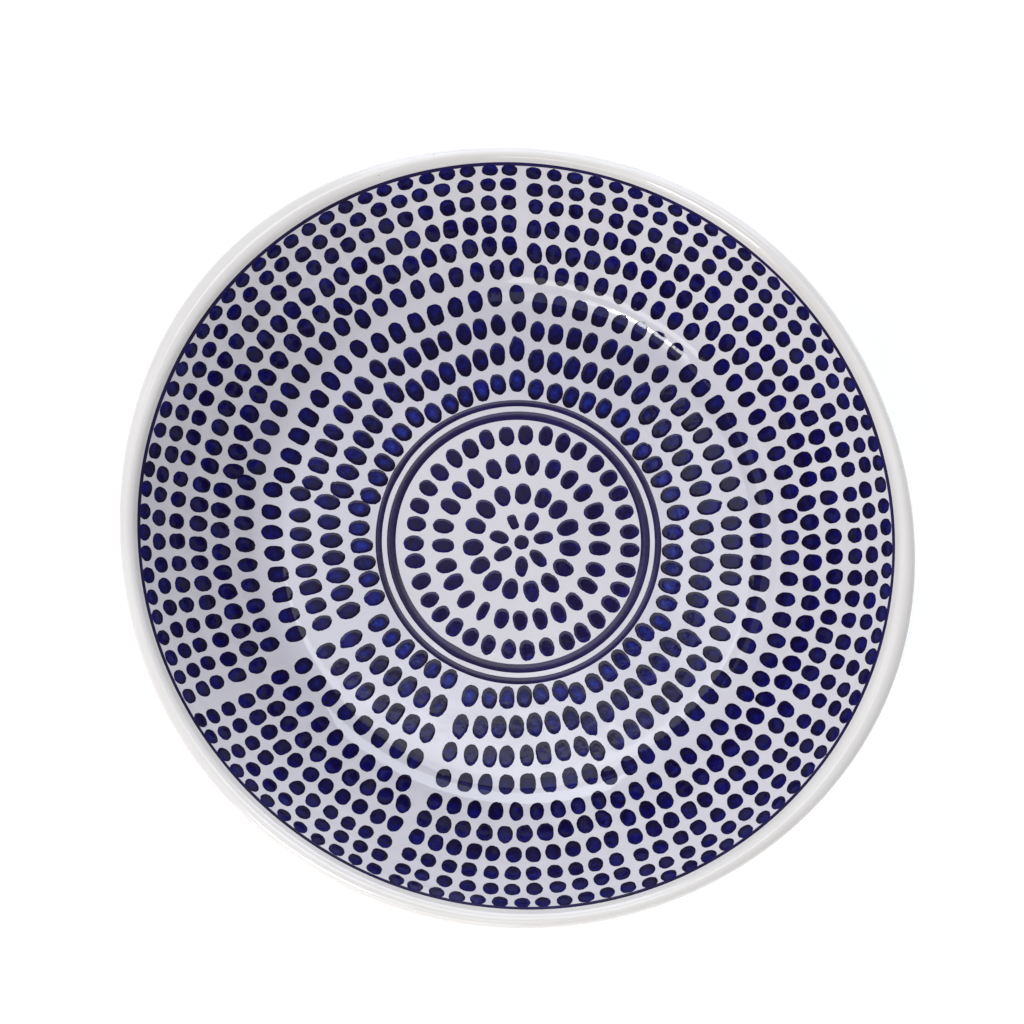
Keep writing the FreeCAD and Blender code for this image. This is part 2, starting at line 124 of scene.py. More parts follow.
class Chain:
    """The inside of the clay as tangent arcs: floor, knee and wall, then the lip's centre.

    A depth is counted from the clay's inside surface, positive towards the hollow.
    """

    def __init__(self):
        slope_1 = math.asin(KNEE_START / FLOOR_ARC)
        slope_2 = math.asin(math.sin(slope_1) + (KNEE_END - KNEE_START) / KNEE_ARC)
        floor_centre = (0.0, FLOOR_HEIGHT + FLOOR_ARC)
        knee_centre = self.shifted(floor_centre, slope_1, FLOOR_ARC - KNEE_ARC)
        wall_centre = self.shifted(knee_centre, slope_2, KNEE_ARC - WALL_ARC)
        self.lip_arc = CLAY_THICKNESS / 2
        lip_radius = OUTER_RADIUS - GLAZE_THICKNESS - self.lip_arc
        slope_3 = math.asin((lip_radius - wall_centre[0]) / (WALL_ARC + self.lip_arc))
        self.lip_centre = self.shifted(wall_centre, slope_3, WALL_ARC + self.lip_arc)
        self.slopes = (0.0, slope_1, slope_2, slope_3)
        self.centres = (floor_centre, knee_centre, wall_centre)
        self.arcs = (FLOOR_ARC, KNEE_ARC, WALL_ARC)

    @staticmethod
    def shifted(centre, slope, reach):
        """The point at a distance from a centre, towards a surface of that slope below it."""
        return centre[0] + reach * math.sin(slope), centre[1] - reach * math.cos(slope)

    def arc_point(self, number, slope, depth):
        """(radius, height) where the floor, knee or wall has a slope."""
        return self.shifted(self.centres[number], slope, self.arcs[number] - depth)

    def lip_point(self, angle, depth):
        """A point of the lip, by the angle of its normal above level, outwards as zero."""
        reach = self.lip_arc + depth
        return (
            self.lip_centre[0] + reach * math.cos(angle),
            self.lip_centre[1] + reach * math.sin(angle),
        )

    def travel_to(self, radius, depth):
        """Distance along the surface from the axis to a radius."""
        travel = 0.0
        for number in range(len(self.arcs)):
            arc = self.arcs[number] - depth
            slope = math.asin(min((radius - self.centres[number][0]) / arc, 1.0))
            if slope <= self.slopes[number + 1] or number == WALL:
                return travel + arc * (slope - self.slopes[number])
            travel += arc * (self.slopes[number + 1] - self.slopes[number])

    def at(self, travel, depth, lift=0.0):
        """(radius, height, slope) at a distance along the surface, lifted off it."""
        for number in range(len(self.arcs)):
            arc = self.arcs[number] - depth
            span = arc * (self.slopes[number + 1] - self.slopes[number])
            if travel <= span or number == WALL:
                slope = self.slopes[number] + travel / arc
                radius, height = self.arc_point(number, slope, depth + lift)
                return radius, height, slope
            travel -= span


chain = Chain()
# Where the ivory glaze of the lip meets the white glaze inside, under the rim line's outer edge.
BORDER_RADIUS = 143.2 * MM
BORDER_SLOPE = chain.at(chain.travel_to(BORDER_RADIUS, 0.0), 0.0)[2]
LIP_START = chain.arc_point(WALL, chain.slopes[3], 0.0)[0]


def warped(radius, angle, height):
    """A point of the bowl as fired, from its place on the true round."""
    oval = OVAL_SHARE * (radius / OUTER_RADIUS) ** OVAL_GROWTH
    swell = sum(size * math.cos(waves * (angle - crest)) for waves, size, crest in LIP_SWELLS)
    share = min(max((radius - LIP_START) / (OUTER_RADIUS - LIP_START), 0.0), 1.0)
    share = share * share * (3 - 2 * share)
    fired = radius * (1 + oval * math.cos(2 * (angle - OVAL_DIRECTION))) + swell * share
    return Vector((fired * math.cos(angle), fired * math.sin(angle), height))


def spread(first, last, count):
    """Evenly spaced values from first to last, both included."""
    return [first + (last - first) * step / (count - 1) for step in range(count)]


# Points along each stretch of an outline.
FLOOR_STEPS = 64
KNEE_STEPS = 22
WALL_STEPS = 48
BORDER_STEPS = 7
LIP_STEPS = 20
NEAR_FOOT_STEPS = 10
BASE_STEPS = 24
FOOT_STEPS = 8
FILLET_STEPS = 7
BEAD_STEPS = 9
# Points round a turned piece.
GLAZE_SEGMENTS = 360
BODY_SEGMENTS = 180
FOOT_SEGMENTS = 240


def inside_line(depth, last_slope=None):
    """The inside of the bowl from the axis to a slope of the wall, or to the start of the lip."""
    slopes = spread(0.0, chain.slopes[1], FLOOR_STEPS)
    line = [chain.arc_point(FLOOR, slope, depth) for slope in slopes]
    ends = (chain.slopes[1], chain.slopes[2], last_slope or chain.slopes[3])
    for number, steps in ((KNEE, KNEE_STEPS), (WALL, WALL_STEPS)):
        slopes = spread(ends[number - 1], ends[number], steps)
        line += [chain.arc_point(number, slope, depth) for slope in slopes[1:]]
    return line


def lip_line(depth, first_slope=None):
    """From a slope of the wall, or the start of the lip, over the lip to its end outside."""
    wall = []
    if first_slope is not None:
        slopes = spread(first_slope, chain.slopes[3], BORDER_STEPS)
        wall = [chain.arc_point(WALL, slope, depth) for slope in slopes[:-1]]
    first = math.pi / 2 + chain.slopes[3]
    angles = spread(first, first - math.pi, LIP_STEPS)
    return wall + [chain.lip_point(angle, depth) for angle in angles]


def foot_contact(radius, depth):
    """The slope of the floor's arc at a radius."""
    return math.asin(radius / (FLOOR_ARC - depth))


# ---------------------------------------------------------------- mesh helpers

ON_AXIS = 0.0001 * MM


def new_object(name, vertices, faces, material, smooth=True):
    mesh = bpy.data.meshes.new(name)
    mesh.from_pydata([tuple(vertex) for vertex in vertices], [], faces)
    mesh.validate()
    mesh.update()
    piece = bpy.data.objects.new(name, mesh)
    bpy.context.collection.objects.link(piece)
    mesh.materials.append(material)
    if smooth:
        for polygon in mesh.polygons:
            polygon.use_smooth = True
    return piece


def turned(name, outline, material, segments=GLAZE_SEGMENTS):
    """A closed outline of (radius, height) turned about the axis, then warped.

    Points on the axis become a single vertex each. The outline is run anticlockwise, seen with
    the axis on the left, so that the faces look outwards.
    """
    doubled_area = sum(
        outline[number - 1][0] * height - radius * outline[number - 1][1]
        for number, (radius, height) in enumerate(outline)
    )
    if doubled_area < 0:
        outline = outline[::-1]
    vertices = []
    rings = []
    for radius, height in outline:
        if radius < ON_AXIS:
            rings.append([len(vertices)] * segments)
            vertices.append(Vector((0, 0, height)))
        else:
            rings.append(list(range(len(vertices), len(vertices) + segments)))
            for step in range(segments):
                vertices.append(warped(radius, 2 * math.pi * step / segments, height))
    faces = []
    for number, ring in enumerate(rings):
        following = rings[(number + 1) % len(rings)]
        if ring[0] == ring[1] and following[0] == following[1]:
            continue
        for step in range(segments):
            after = (step + 1) % segments
            corners = [ring[step], ring[after], following[after], following[step]]
            faces.append([
                corner for place, corner in enumerate(corners) if corner != corners[place - 1]
            ])
    return new_object(name, vertices, faces, material)


# ---------------------------------------------------------------- materials

IOR = 1.5
# Less than plain glaze, whose level is 0.5, so that the blue stays as dark as in the photo.
PRINT_SPECULAR = 0.17
BRUSHED_SPECULAR = 0.22
# The cobalt's haze over the floor: from nothing to full, and from full to nothing.
HAZE_BEGINS = (57 * MM, 61 * MM)
HAZE_FADES = (96 * MM, 116 * MM)
# The medallion's dabs have a core below zero, which makes them charcoal with a blue edge.
MEDALLION_CORE = -0.3


class Nodes:
    """A small helper that builds one material's node tree."""

    def __init__(self, name):
        self.material = bpy.data.materials.new(name)
        self.material.use_nodes = True
        self.tree = self.material.node_tree
        self.shader = self.tree.nodes["Principled BSDF"]
        self.place = self.add("ShaderNodeTexCoord").outputs["Object"]

    def add(self, kind, **settings):
        node = self.tree.nodes.new(kind)
        for name, setting in settings.items():
            setattr(node, name, setting)
        return node

    def link(self, source, target):
        self.tree.links.new(source, target)

    def noise(self, scale, detail=3.0, roughness=0.5, distortion=0.0):
        """Noise whose features are about 1 / scale metres across."""
        node = self.add("ShaderNodeTexNoise")
        node.inputs["Scale"].default_value = scale
        node.inputs["Detail"].default_value = detail
        node.inputs["Roughness"].default_value = roughness
        node.inputs["Distortion"].default_value = distortion
        self.link(self.place, node.inputs["Vector"])
        return node.outputs["Fac"]

    def attribute(self, name):
        node = self.add("ShaderNodeAttribute", attribute_name=name)
        return node.outputs["Fac"]

    def ramp(self, source, stops):
        """A colour ramp; stops are (position, colour)."""
        node = self.add("ShaderNodeValToRGB")
        elements = node.color_ramp.elements
        while len(elements) < len(stops):
            elements.new(0.5)
        for element, (position, colour) in zip(elements, stops):
            element.position = position
            element.color = (*colour, 1.0)
        self.link(source, node.inputs["Fac"])
        return node.outputs["Color"]

    def map(self, source, low, high, new_low, new_high):
        """Carries low to high onto new_low to new_high, and stays within them."""
        node = self.add("ShaderNodeMapRange")
        names = ("From Min", "From Max", "To Min", "To Max")
        for name, number in zip(names, (low, high, new_low, new_high)):
            node.inputs[name].default_value = number
        self.link(source, node.inputs["Value"])
        return node.outputs["Result"]

    def math(self, operation, first, second):
        node = self.add("ShaderNodeMath", operation=operation)
        for socket, source in zip(node.inputs, (first, second)):
            if isinstance(source, (int, float)):
                socket.default_value = source
            else:
                self.link(source, socket)
        return node.outputs["Value"]

    def mix(self, share, first, second, blend="MIX"):
        """Mixes two colours: none of the second where share is zero."""
        node = self.add("ShaderNodeMix", data_type="RGBA", blend_type=blend)
        node.clamp_factor = True
        # Sockets 6 and 7 are the two colours, and output 2 is the mixed one.
        sockets = (node.inputs[0], node.inputs[6], node.inputs[7])
        for socket, source in zip(sockets, (share, first, second)):
            if isinstance(source, (int, float)):
                socket.default_value = source
            elif isinstance(source, tuple):
                socket.default_value = (*source, 1.0)
            else:
                self.link(source, socket)
        return node.outputs[2]

    def bump(self, source, distance, before=None):
        """Relief of a depth in metres, over the relief before it."""
        node = self.add("ShaderNodeBump")
        node.inputs["Strength"].default_value = 1.0
        node.inputs["Distance"].default_value = distance
        self.link(source, node.inputs["Height"])
        if before is not None:
            self.link(before, node.inputs["Normal"])
        return node.outputs["Normal"]

    def finish(self, colour, roughness, normal):
        self.link(colour, self.shader.inputs["Base Color"])
        self.link(roughness, self.shader.inputs["Roughness"])
        self.link(normal, self.shader.inputs["Normal"])
        self.shader.inputs["IOR"].default_value = IOR
        return self.material


def glaze_material(name, pale, deep, speck, speck_share, haze=None):
    """A glossy white glaze: cloudy tone, faint orange peel, a few iron specks and pinholes.

    haze is the tint that cobalt gives it between the printed rows of the floor, and
    speck_share is the share of the cells that hold a speck.
    """
    nodes = Nodes(name)
    clouds = nodes.ramp(nodes.noise(14.0, 4.0, 0.55), ((0.3, deep), (0.7, pale)))
    fine = nodes.noise(260.0, 3.0, 0.6)
    tone = nodes.mix(nodes.map(fine, 0.35, 0.75, 0.0, 0.10), clouds, deep)
    cells = nodes.add("ShaderNodeTexVoronoi", feature="F1")
    cells.inputs["Scale"].default_value = 95.0
    nodes.link(nodes.place, cells.inputs["Vector"])
    near = nodes.map(cells.outputs["Distance"], 0.012, 0.030, 1.0, 0.0)
    pick = nodes.add("ShaderNodeSeparateColor")
    nodes.link(cells.outputs["Color"], pick.inputs["Color"])
    chosen = nodes.math("LESS_THAN", pick.outputs["Red"], speck_share)
    dots = nodes.math("MULTIPLY", near, chosen)
    if haze:
        reach = nodes.add("ShaderNodeVectorMath", operation="LENGTH")
        nodes.link(nodes.place, reach.inputs[0])
        begins = nodes.map(reach.outputs["Value"], *HAZE_BEGINS, 0.0, 1.0)
        fades = nodes.map(reach.outputs["Value"], *HAZE_FADES, 1.0, 0.0)
        tone = nodes.mix(nodes.math("MULTIPLY", begins, fades), tone, haze, "MULTIPLY")
    colour = nodes.mix(dots, tone, speck)
    roughness = nodes.map(nodes.noise(40.0, 3.0), 0.3, 0.7, 0.02, 0.05)
    normal = nodes.bump(nodes.noise(65.0, 2.0, 0.4), 0.03 * MM)
    normal = nodes.bump(nodes.noise(420.0, 2.0, 0.5), 0.0035 * MM, before=normal)
    normal = nodes.bump(dots, -0.03 * MM, before=normal)
    return nodes.finish(colour, roughness, normal)


def clay_material():
    """Bare fired porcelain on the standing edge: chalky, ground, a little soiled."""
    nodes = Nodes("bare_porcelain")
    grain = nodes.noise(900.0, 4.0, 0.65)
    patches = nodes.noise(55.0, 4.0, 0.6)
    base = nodes.ramp(patches, ((0.3, (0.60, 0.55, 0.48)), (0.65, (0.74, 0.71, 0.66))))
    colour = nodes.mix(nodes.map(grain, 0.35, 0.75, 0.0, 0.35), base, (0.50, 0.46, 0.41))
    roughness = nodes.map(grain, 0.3, 0.7, 0.62, 0.85)
    normal = nodes.bump(grain, 0.05 * MM)
    return nodes.finish(colour, roughness, normal)


def cobalt_material():
    """Printed dabs: a black wash over cobalt, which shows through in the middle and at one end.

    Where dab_core is below zero the cobalt shows as a thin blue edge round a charcoal middle.
    """
    nodes = Nodes("cobalt_print")
    edge = nodes.attribute("dab_edge")
    tone = nodes.attribute("dab_tone")
    side = nodes.attribute("dab_side")
    core = nodes.attribute("dab_core")
    charcoal = nodes.map(core, MEDALLION_CORE, 0.0, 1.0, 0.0)
    streaks = nodes.noise(480.0, 4.0, 0.7, distortion=0.5)
    clouds = nodes.noise(210.0, 3.0, 0.6)
    lean = nodes.map(side, -0.8, 0.8, -0.32, 0.30)
    lean = nodes.math("MULTIPLY", lean, nodes.map(charcoal, 0.0, 1.0, 1.0, 0.35))
    drift = nodes.map(clouds, 0.3, 0.7, -0.24, 0.24)
    drift = nodes.math("ADD", drift, nodes.map(tone, 0.0, 1.0, -0.12, 0.12))
    drift = nodes.math("ADD", drift, nodes.map(charcoal, 0.0, 1.0, 0.0, -0.18))
    wash = nodes.math("ADD", nodes.map(streaks, 0.36, 0.64, 0.16, 0.84), lean)
    wash = nodes.math("ADD", wash, drift)
    body = nodes.ramp(wash, (
        (0.18, (0.0050, 0.0022, 0.0160)),
        (0.52, (0.0048, 0.0022, 0.0330)),
        (0.92, (0.0050, 0.0034, 0.0950)),
    ))
    body = nodes.mix(charcoal, body, (0.0025, 0.0015, 0.0180), "ADD")
    middle = nodes.map(edge, 0.10, 0.72, 1.0, 0.0)
    glow = nodes.math("MULTIPLY", middle, core)
    glow = nodes.math("MULTIPLY", glow, nodes.map(streaks, 0.36, 0.60, 0.25, 1.0))
    colour = nodes.mix(glow, body, (0.013, 0.026, 0.280))
    rim_colour = nodes.mix(charcoal, (0.0040, 0.0020, 0.020), (0.0075, 0.0075, 0.1150))
    colour = nodes.mix(nodes.map(edge, 0.80, 0.97, 0.0, 0.7), colour, rim_colour)
    roughness = nodes.map(streaks, 0.3, 0.7, 0.02, 0.05)
    normal = nodes.bump(nodes.noise(230.0, 2.0), 0.012 * MM)
    nodes.shader.inputs["Specular IOR Level"].default_value = PRINT_SPECULAR
    return nodes.finish(colour, roughness, normal)


def band_material():
    """Brushed lines: an even greyed navy, uneven where the brush ran dry or doubled up."""
    nodes = Nodes("brushed_blue")
    slow = nodes.noise(24.0, 3.0, 0.6)
    fine = nodes.noise(500.0, 4.0, 0.7)
    base = nodes.ramp(slow, (
        (0.32, (0.0085, 0.0050, 0.022)),
        (0.55, (0.0110, 0.0065, 0.046)),
        (0.72, (0.0140, 0.0090, 0.072)),
    ))
    colour = nodes.mix(nodes.map(fine, 0.4, 0.8, 0.0, 0.45), base, (0.019, 0.013, 0.095))
    roughness = nodes.map(fine, 0.3, 0.7, 0.05, 0.10)
    normal = nodes.bump(nodes.noise(300.0, 2.0), 0.006 * MM)
    nodes.shader.inputs["Specular IOR Level"].default_value = BRUSHED_SPECULAR
    return nodes.finish(colour, roughness, normal)


GLAZE_WHITE = glaze_material(
    "glaze_white",
    pale=(0.590, 0.572, 0.608),
    deep=(0.550, 0.528, 0.568),
    speck=(0.16, 0.12, 0.10),
    speck_share=0.05,
    haze=(0.93, 0.94, 0.985),
)
GLAZE_IVORY = glaze_material(
    "glaze_ivory",
    pale=(0.622, 0.603, 0.592),
    deep=(0.580, 0.555, 0.540),
    speck=(0.22, 0.15, 0.10),
    speck_share=0.07,
)
CLAY = clay_material()
COBALT = cobalt_material()
BRUSHED = band_material()


# ---------------------------------------------------------------- clay and glaze

def placed(piece, node):
    """Puts a piece on the bowl, in place of its CAD node."""
    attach(piece, "root")
    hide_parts(node)
    return piece


UNDER_CLAY = -CLAY_THICKNESS
UNDER_GLAZE = UNDER_CLAY - GLAZE_THICKNESS
# How near to the foot the outside glaze still follows the clay's arc.
GLAZE_FOOT_GAP = 2.2 * GLAZE_THICKNESS


def make_bowl_body():
    outside = [
        chain.arc_point(number, slope, UNDER_CLAY)
        for number, steps in ((WALL, WALL_STEPS), (KNEE, KNEE_STEPS), (FLOOR, FLOOR_STEPS))
        for slope in spread(chain.slopes[number + 1], chain.slopes[number], steps)[1:]
    ]
    outline = inside_line(0.0) + lip_line(0.0)[1:] + outside
    piece = turned("body_clay", outline, CLAY, BODY_SEGMENTS)
    return placed(piece, "bowl_body")


def foot_edge(wall, outwards, turns):
    """A rounded lower edge of the foot ring. A turn of zero is at its wall, 90 degrees below."""
    return [
        (wall + outwards * FOOT_ROUND * (1 - math.cos(turn)), FOOT_ROUND * (1 - math.sin(turn)))
        for turn in turns
    ]


def make_foot_ring():
    first = foot_contact(FOOT_OUTER, UNDER_CLAY)
    last = foot_contact(FOOT_INNER, UNDER_CLAY)
    top = [chain.arc_point(FLOOR, slope, UNDER_CLAY) for slope in spread(first, last, FOOT_STEPS)]
    inner_edge = foot_edge(FOOT_INNER, +1, spread(0, math.pi / 2, FOOT_STEPS))
    outer_edge = foot_edge(FOOT_OUTER, -1, spread(math.pi / 2, 0, FOOT_STEPS))
    piece = turned("foot_clay", top + inner_edge + outer_edge, CLAY, FOOT_SEGMENTS)
    return placed(piece, "foot_ring")


def make_glaze_inside():
    outline = inside_line(0.0, BORDER_SLOPE)[::-1] + inside_line(GLAZE_THICKNESS, BORDER_SLOPE)
    piece = turned("inside_glaze", outline, GLAZE_WHITE)
    return placed(piece, "glaze_inside")


def glaze_foot_end(radius, outwards):
    """The glaze's rounded edge on the foot, with a slight bead, from its free side."""
    middle = radius + outwards * GLAZE_THICKNESS / 2
    height = BARE_HEIGHT + BEAD_RADIUS
    return [
        (middle + outwards * BEAD_RADIUS * math.cos(turn), height - BEAD_RADIUS * math.sin(turn))
        for turn in spread(-math.pi / 4, math.pi * 0.85, BEAD_STEPS)
    ]


def glaze_foot_fillet(foot_wall, outwards, height):
    """The glaze's curve from the base at a height down to the foot's wall."""
    return [
        (
            foot_wall + outwards * FOOT_FILLET * (1 - math.sin(turn)),
            height - FOOT_FILLET * (1 - math.cos(turn)),
        )
        for turn in spread(0, math.pi / 2, FILLET_STEPS)
    ]


def make_glaze_outside():
    foot_slope = foot_contact(FOOT_OUTER, UNDER_CLAY)
    stretches = (
        (WALL, chain.slopes[3], chain.slopes[2], WALL_STEPS),
        (KNEE, chain.slopes[2], chain.slopes[1], KNEE_STEPS),
        (FLOOR, chain.slopes[1], foot_slope, NEAR_FOOT_STEPS),
    )
    # The first point of each stretch is the last of the one before it.
    clay_side = [
        (number, slope)
        for number, first, last, steps in stretches
        for slope in spread(first, last, steps)[1:]
    ]
    inner = [chain.arc_point(number, slope, UNDER_CLAY) for number, slope in clay_side]
    near_foot = foot_contact(FOOT_OUTER + GLAZE_FOOT_GAP, UNDER_GLAZE)
    outer = [
        chain.arc_point(number, slope, UNDER_GLAZE)
        for number, slope in clay_side if number != FLOOR or slope > near_foot
    ]
    foot_wall = FOOT_OUTER + GLAZE_THICKNESS
    curve = glaze_foot_fillet(foot_wall, +1, outer[-1][1])
    outer = [point for point in outer if point[0] > foot_wall + FOOT_FILLET]
    end = glaze_foot_end(FOOT_OUTER, +1)
    outline = lip_line(0.0, BORDER_SLOPE) + inner + end[::-1] + curve[::-1] + outer[::-1]
    outline += lip_line(GLAZE_THICKNESS, BORDER_SLOPE)[::-1]
    piece = turned("outside_glaze", outline, GLAZE_IVORY)
    return placed(piece, "glaze_outside")


def make_glaze_underside():
    foot_wall = FOOT_INNER - GLAZE_THICKNESS
    clay_slopes = spread(foot_contact(FOOT_INNER, UNDER_CLAY), 0, BASE_STEPS)
    free_slopes = spread(0, foot_contact(foot_wall - FOOT_FILLET, UNDER_GLAZE), BASE_STEPS)
    clay = [chain.arc_point(FLOOR, slope, UNDER_CLAY) for slope in clay_slopes]
    base = [chain.arc_point(FLOOR, slope, UNDER_GLAZE) for slope in free_slopes]
    curve = glaze_foot_fillet(foot_wall, -1, base[-1][1])
    end = glaze_foot_end(FOOT_INNER, -1)
    outline = base + curve[1:] + end + clay
    piece = turned("underside_glaze", outline, GLAZE_IVORY)
    return placed(piece, "glaze_underside")


# ---------------------------------------------------------------- brushed lines

LINE_LIFT = 0.025 * MM
LINE_SINK = 0.12 * MM
LINE_STEPS = 720
# (share of the half width, lift) across a line, from its sunk edge on the axis' side
LINE_SECTION = (
    (-1.0, -LINE_SINK),
    (-1.0, 0.0),
    (-0.97, LINE_LIFT * 0.7),
    (-0.92, LINE_LIFT),
    (0.0, LINE_LIFT),
    (0.92, LINE_LIFT),
    (0.97, LINE_LIFT * 0.7),
    (1.0, 0.0),
    (1.0, -LINE_SINK),
)
WAVE_COUNTS = (1, 2, 3, 5, 8, 13, 21)
# Where a stroke meets its start it is wider by this share, over this angle in radians.
DOUBLED_SHARE = 0.10
DOUBLED_ANGLE = 0.09
# (node, radius, width, how far its edges wander, seed, degrees where its ends overlap)
BRUSHED_LINES = (
    ("medallion_band_inner", 50.6 * MM, 3.5 * MM, 0.05 * MM, 11, -120),
    ("medallion_band_outer", 55.6 * MM, 2.6 * MM, 0.05 * MM, 12, 150),
    ("rim_line", 142.65 * MM, 1.9 * MM, 0.10 * MM, 13, 20),
)


def make_brushed_line(name, radius, width, wobble, seed, doubled_at):
    """A line brushed on the wheel: its edges wander, and it is wider where it starts and stops."""
    draw = random.Random(seed)
    waves = []
    for edge in (-1, 1):
        for count in WAVE_COUNTS:
            size = wobble * draw.uniform(0.3, 1.0) / math.sqrt(count)
            waves.append((count, size, draw.uniform(0, 2 * math.pi), edge))
    middle = chain.travel_to(radius, GLAZE_THICKNESS)
    vertices = []
    faces = []
    for step in range(LINE_STEPS):
        angle = 2 * math.pi * step / LINE_STEPS
        shift = {-1: 0.0, 1: 0.0}
        for count, size, phase, edge in waves:
            shift[edge] += size * math.cos(count * angle + phase)
        gap = (angle - doubled_at + math.pi) % (2 * math.pi) - math.pi
        swell = width * DOUBLED_SHARE * math.exp(-(gap / DOUBLED_ANGLE) ** 2)
        for share, lift in LINE_SECTION:
            edge = 1 if share > 0 else -1
            across = middle + share * (width / 2 + swell) + abs(share) * shift[edge]
            place_radius, height, _ = chain.at(across, GLAZE_THICKNESS, lift)
            vertices.append(warped(place_radius, angle, height))
    count = len(LINE_SECTION)
    for step in range(LINE_STEPS):
        here = step * count
        there = ((step + 1) % LINE_STEPS) * count
        for place in range(count):
            after = (place + 1) % count
            faces.append([here + place, here + after, there + after, there + place])
    piece = new_object(f"brushed_{name}", vertices, faces, BRUSHED)
    return placed(piece, name)


# ---------------------------------------------------------------- printed dabs

DAB_LIFT = 0.03 * MM
DAB_CORNERS = 44
# How dabs vary: shares of their drawn size, degrees of lean, and the width of a point.
DAB_SIZES = (0.95, 1.05)
DAB_LEAN = 3.0
TIP_ANGLE = 0.35
# (waves round a dab's outline, their largest size as a share of its reach)
LUMPS = (
    (2, 0.020), (3, 0.030), (4, 0.018), (5, 0.016), (7, 0.013),
    (9, 0.012), (12, 0.013), (15, 0.013), (19, 0.013),
)
# (share of the outline, share of the lift), from the sunk edge to the middle
DAB_LEVELS = ((1.0, -4.0), (1.0, 0.0), (0.97, 0.7), (0.92, 1.0), (0.64, 1.0), (0.32, 1.0))


class DabShape:
    """One brush dab's outline: an oval with its own lumps, ragged edge and lean.

    square is 2 for an oval and more for a boxy dab, egg makes one end fatter, and tip draws a
    point out at the angle tip_at. A quirk sets any of them outright.
    """

    def __init__(self, draw, length, width, core, quirk=None):
        self.length = length * draw.uniform(*DAB_SIZES)
        self.width = width * draw.uniform(*DAB_SIZES)
        self.lean = math.radians(draw.gauss(0, DAB_LEAN))
        self.square = draw.uniform(2.0, 2.3)
        self.egg = draw.uniform(-0.07, 0.07)
        self.tone = draw.random()
        self.core = core * draw.uniform(0.5, 1.0)
        self.tip = 0.0
        self.tip_at = 0.0
        self.lumps = [
            (count, draw.uniform(0.0, size), draw.uniform(0, 2 * math.pi))
            for count, size in LUMPS
        ]
        for name, setting in (quirk or {}).items():
            setattr(self, name, setting)

    def outline(self):
        """(along, across) points of the outline, along towards the rim."""
        points = []
        for number in range(DAB_CORNERS):
            angle = 2 * math.pi * number / DAB_CORNERS
            cosine = math.cos(angle)
            sine = math.sin(angle)
            reach = (abs(cosine) ** self.square + abs(sine) ** self.square) ** (-1 / self.square)
            reach *= 1 + sum(
                size * math.cos(count * angle + phase) for count, size, phase in self.lumps
            )
            gap = (angle - self.tip_at + math.pi) % (2 * math.pi) - math.pi
            reach *= 1 + self.tip * math.exp(-(gap / TIP_ANGLE) ** 2)
            along = reach * cosine * self.length / 2
            across = reach * sine * self.width / 2 * (1 + self.egg * cosine)
            points.append((
                along * math.cos(self.lean) - across * math.sin(self.lean),
                along * math.sin(self.lean) + across * math.cos(self.lean),
            ))
        return points


class Print:
    """The dabs of one printed sheet, gathered into one mesh."""

    def __init__(self):
        self.vertices = []
        self.faces = []
        self.edge = []
        self.tone = []
        self.side = []
        self.core = []

    def note(self, shape, edge, side):
        """Keeps what the cobalt's material reads at the vertex just laid."""
        self.edge.append(edge)
        self.tone.append(shape.tone)
        self.side.append(side)
        self.core.append(shape.core)

    def add(self, shape, travel, direction, shift=(0.0, 0.0)):
        """Lays one dab on the glaze, at an azimuth in radians. shift moves it in plan."""
        start = len(self.vertices)
        outline = shape.outline()
        cosine = math.cos(direction)
        sine = math.sin(direction)

        def lay(along, across, lift):
            reach = chain.at(travel + along, GLAZE_THICKNESS)[0]
            x = reach * cosine - across * sine + shift[0]
            y = reach * sine + across * cosine + shift[1]
            place = chain.travel_to(math.hypot(x, y), GLAZE_THICKNESS)
            radius, height, _ = chain.at(place, GLAZE_THICKNESS, lift)
            self.vertices.append(warped(radius, math.atan2(y, x), height))

        for share, lift in DAB_LEVELS:
            for along, across in outline:
                lay(along * share, across * share, lift * DAB_LIFT)
                self.note(shape, share, share * along / (shape.length / 2))
        for level in range(len(DAB_LEVELS) - 1):
            below = start + level * DAB_CORNERS
            above = below + DAB_CORNERS
            for number in range(DAB_CORNERS):
                after = (number + 1) % DAB_CORNERS
                self.faces.append([below + number, below + after, above + after, above + number])
        top = start + (len(DAB_LEVELS) - 1) * DAB_CORNERS
        ends = ((start, DAB_LEVELS[0][1], True), (top, DAB_LEVELS[-1][1], False))
        for base, lift, flipped in ends:
            middle = len(self.vertices)
            lay(0.0, 0.0, lift * DAB_LIFT)
            self.note(shape, 1.0 if flipped else 0.0, 0.0)
            for number in range(DAB_CORNERS):
                after = (number + 1) % DAB_CORNERS
                corners = [base + number, base + after, middle]
                self.faces.append(corners[::-1] if flipped else corners)

    def finish(self, name):
        """Makes the sheet, in place of its CAD node of that name."""
        piece = new_object(f"printed_{name}", self.vertices, self.faces, COBALT)
        for label in ("edge", "tone", "side", "core"):
            values = getattr(self, label)
            layer = piece.data.attributes.new(f"dab_{label}", "FLOAT", "POINT")
            layer.data.foreach_set("value", values)
        return placed(piece, name)


# Rings of the round sheet: (radius, count, width, length, direction of one dab in degrees), in
# millimetres like the rows below.
MEDALLION_RINGS = (
    (8.9, 7, 5.1, 8.1, 11.0),
    (19.4, 15, 6.5, 8.8, 17.1),
    (31.5, 25, 6.0, 8.6, 9.8),
    (43.1, 35, 6.1, 8.1, 5.6),
)
MEDALLION_SHIFT = (1.3 * MM, -0.2 * MM)
MEDALLION_CENTRE = 6.0
MEDALLION_SEED = 7

